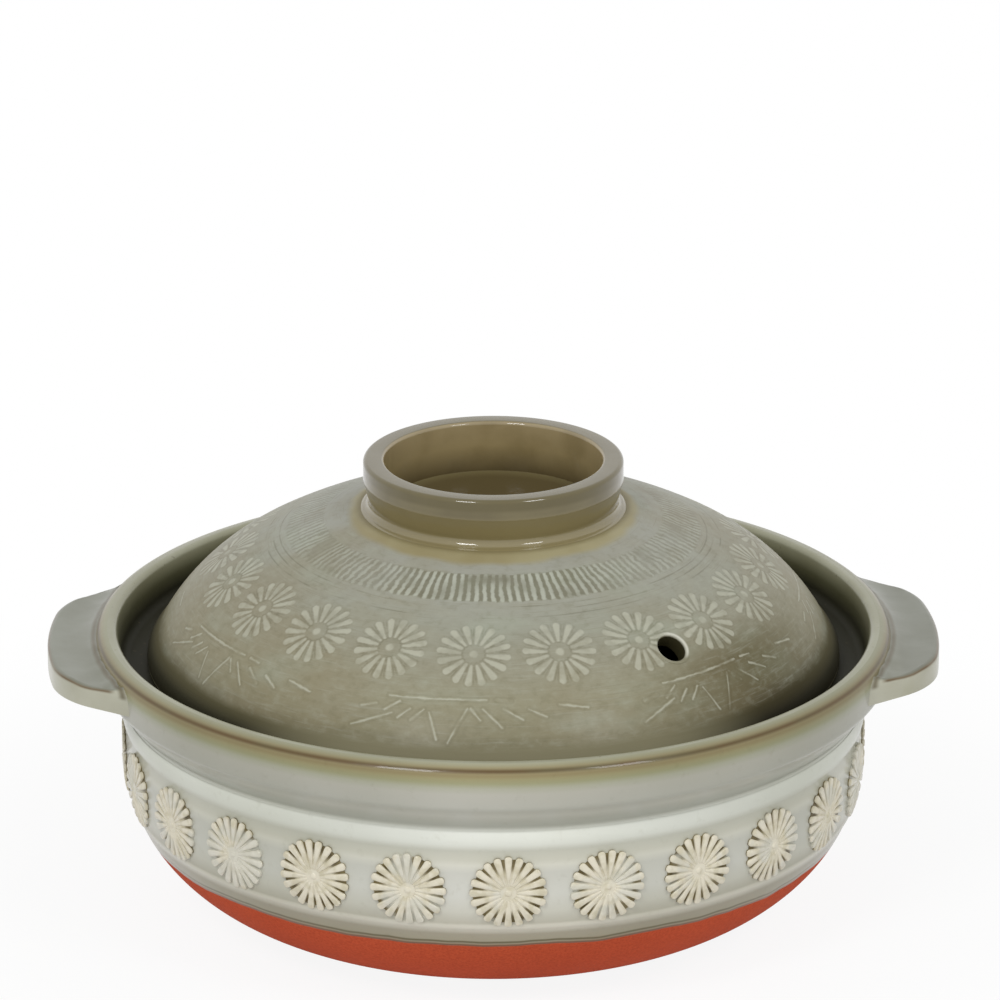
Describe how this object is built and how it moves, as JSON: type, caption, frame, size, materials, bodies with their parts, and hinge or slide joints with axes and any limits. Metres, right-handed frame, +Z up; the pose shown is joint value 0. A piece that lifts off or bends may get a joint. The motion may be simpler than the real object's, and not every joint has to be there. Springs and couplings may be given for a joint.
{
  "type": "donabe clay pot",
  "caption": "Round stoneware pot with two flat ear handles and a domed lid with a hollow ring knob and a steam hole.",
  "frame": {"origin": "centre of the foot ring's resting plane", "axes": "+Z up along the axis of revolution, +X through the ear handles"},
  "size_m": [0.2828, 0.2514, 0.1453],
  "materials": {
    "pot_glaze": "pale grey-green gloss glaze, over bare red clay below the glaze line",
    "ear_glaze": "grey-green gloss glaze, brown where it breaks on the edges",
    "lid_glaze": "brushed white slip under olive-grey gloss glaze",
    "knob_glaze": "olive-brown gloss glaze"
  },
  "bodies": {
    "pot": {"pot_bowl": "pot_glaze", "ear_handle_left": "ear_glaze", "ear_handle_right": "ear_glaze"},
    "lid": {"lid_dome": "lid_glaze", "lid_knob_ring": "knob_glaze"}
  },
  "joints": [
    {"name": "lid_lift", "type": "slide", "parent": "pot", "child": "lid", "axis": [0, 0, 1], "range_m": [0, 0.12]}
  ]
}
